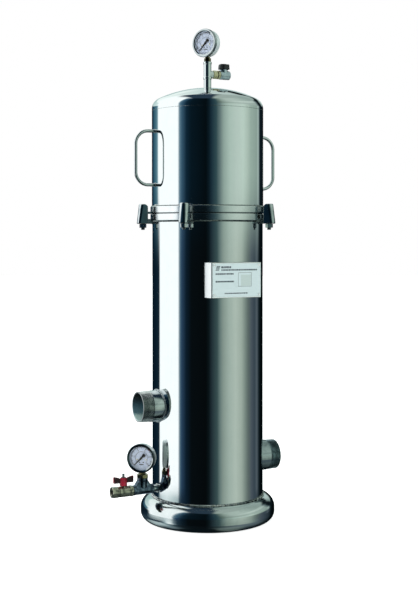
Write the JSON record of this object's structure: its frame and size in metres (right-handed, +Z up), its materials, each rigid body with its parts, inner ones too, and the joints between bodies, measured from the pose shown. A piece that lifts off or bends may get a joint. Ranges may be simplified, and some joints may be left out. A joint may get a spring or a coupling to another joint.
{
  "type": "multi-cartridge filter housing",
  "caption": "Upright stainless multi-cartridge filter housing: lift-off cover held by claw clamps, threaded inlet and outlet, drain valve, vent valve and pressure gauges.",
  "frame": {"origin": "vessel axis at floor level, in the plane the foot ring stands on", "axes": "+X outlet side, -X inlet and drain side, -Y front with the name plate, +Z up along the vessel"},
  "size_m": [0.3572, 0.272, 0.966],
  "materials": {
    "polished_steel": "mirror polished stainless steel",
    "machined_steel": "machined and pressed stainless steel",
    "cast_steel": "cast stainless fitting, satin",
    "seal_rubber": "moulded rubber",
    "seat_plastic": "moulded polypropylene",
    "filter_media": "melt blown fibre",
    "knob_black": "moulded, fine texture",
    "plate_white": "satin plate",
    "brass": "turned brass",
    "nickel_brass": "nickel plated brass, satin",
    "valve_grey": "satin blue grey",
    "handle_red": "moulded, semi gloss",
    "gauge_steel": "pressed steel case",
    "gauge_glass": "clear",
    "dial_white": "white enamel",
    "pointer_black": "black enamel"
  },
  "bodies": {
    "housing": {"foot_ring": "polished_steel", "bottom_head": "polished_steel", "lower_shell": "polished_steel", "lower_flange_ring": "polished_steel", "closure_seal": "seal_rubber", "inlet_nozzle": "polished_steel", "outlet_nozzle": "polished_steel", "clamp_lugs": "polished_steel", "tube_sheet": "machined_steel", "cartridge_seats": "seat_plastic", "filter_cartridges": "filter_media", "cartridge_cores": "seat_plastic", "cartridge_springs": "machined_steel", "hold_down_plate": "machined_steel", "hold_down_washer": "machined_steel", "tie_rod": "machined_steel", "name_plate_bracket": "polished_steel", "name_plate": "plate_white", "name_plate_rivets": "machined_steel", "drain_nipple": "machined_steel", "drain_tee": "cast_steel", "gauge_bushing": "brass", "lower_gauge_case": "gauge_steel", "lower_gauge_bezel": "gauge_steel", "lower_gauge_window": "gauge_glass", "lower_gauge_dial": "dial_white", "lower_gauge_stem": "brass", "drain_valve_body": "nickel_brass", "drain_valve_end": "nickel_brass"},
    "cover": {"cover_flange_ring": "polished_steel", "cover_shell": "polished_steel", "cover_head": "polished_steel", "cover_handles": "polished_steel", "clamp_claws": "machined_steel", "clamp_studs": "machined_steel", "top_socket": "polished_steel", "top_tee": "polished_steel", "top_gauge_case": "gauge_steel", "top_gauge_bezel": "gauge_steel", "top_gauge_window": "gauge_glass", "top_gauge_dial": "dial_white", "top_gauge_stem": "brass", "vent_nipple": "nickel_brass", "vent_valve_body": "valve_grey"},
    "nut_1": {"clamp_nut_1": "machined_steel"},
    "nut_2": {"clamp_nut_2": "machined_steel"},
    "nut_3": {"clamp_nut_3": "machined_steel"},
    "nut_4": {"clamp_nut_4": "machined_steel"},
    "nut_5": {"clamp_nut_5": "machined_steel"},
    "drain_lever": {"drain_valve_ball": "machined_steel", "drain_valve_stem": "machined_steel", "drain_valve_handle": "handle_red", "drain_handle_nut": "machined_steel"},
    "vent_lever": {"vent_valve_ball": "machined_steel", "vent_valve_stem": "machined_steel", "vent_valve_knob": "knob_black", "vent_knob_screw": "machined_steel"},
    "lower_needle": {"lower_gauge_pointer": "pointer_black"},
    "top_needle": {"top_gauge_pointer": "pointer_black"},
    "hold_down": {"hold_down_knob": "knob_black"}
  },
  "joints": [
    {"name": "cover_lift", "type": "slide", "parent": "housing", "child": "cover", "axis": [0, 0, 1], "range_m": [0, 0.3]},
    {"name": "nut_1_spin", "type": "hinge", "parent": "housing", "child": "nut_1", "pos_m": [-0.12321, 0.0365, 0.577], "axis": [0, 0, 1], "continuous": true},
    {"name": "nut_2_spin", "type": "hinge", "parent": "housing", "child": "nut_2", "pos_m": [-0.09321, -0.08845, 0.577], "axis": [0, 0, 1], "continuous": true},
    {"name": "nut_3_spin", "type": "hinge", "parent": "housing", "child": "nut_3", "pos_m": [0.08515, -0.09624, 0.577], "axis": [0, 0, 1], "continuous": true},
    {"name": "nut_4_spin", "type": "hinge", "parent": "housing", "child": "nut_4", "pos_m": [0.11872, 0.04918, 0.577], "axis": [0, 0, 1], "continuous": true},
    {"name": "nut_5_spin", "type": "hinge", "parent": "housing", "child": "nut_5", "pos_m": [-0.00784, 0.12826, 0.577], "axis": [0, 0, 1], "continuous": true},
    {"name": "drain_valve_turn", "type": "hinge", "parent": "housing", "child": "drain_lever", "pos_m": [-0.1795, 0, 0.085], "axis": [0, 0, 1], "range_deg": [0, 90]},
    {"name": "vent_valve_turn", "type": "hinge", "parent": "cover", "child": "vent_lever", "pos_m": [0.0355, 0, 0.885], "axis": [0, 0, 1], "range_deg": [0, 90]},
    {"name": "lower_gauge_sweep", "type": "hinge", "parent": "housing", "child": "lower_needle", "pos_m": [-0.1398, 0, 0.1318], "axis": [0.6494, 0.7604, 0], "range_deg": [0, 270], "stiffness_Nm_per_rad": 0.0004},
    {"name": "top_gauge_sweep", "type": "hinge", "parent": "cover", "child": "top_needle", "pos_m": [0, 0, 0.938], "axis": [0.8788, 0.4772, 0], "range_deg": [0, 270], "stiffness_Nm_per_rad": 0.0004},
    {"name": "hold_down_turn", "type": "hinge", "parent": "housing", "child": "hold_down", "pos_m": [0, 0, 0.706], "axis": [0, 0, 1], "continuous": true}
  ]
}
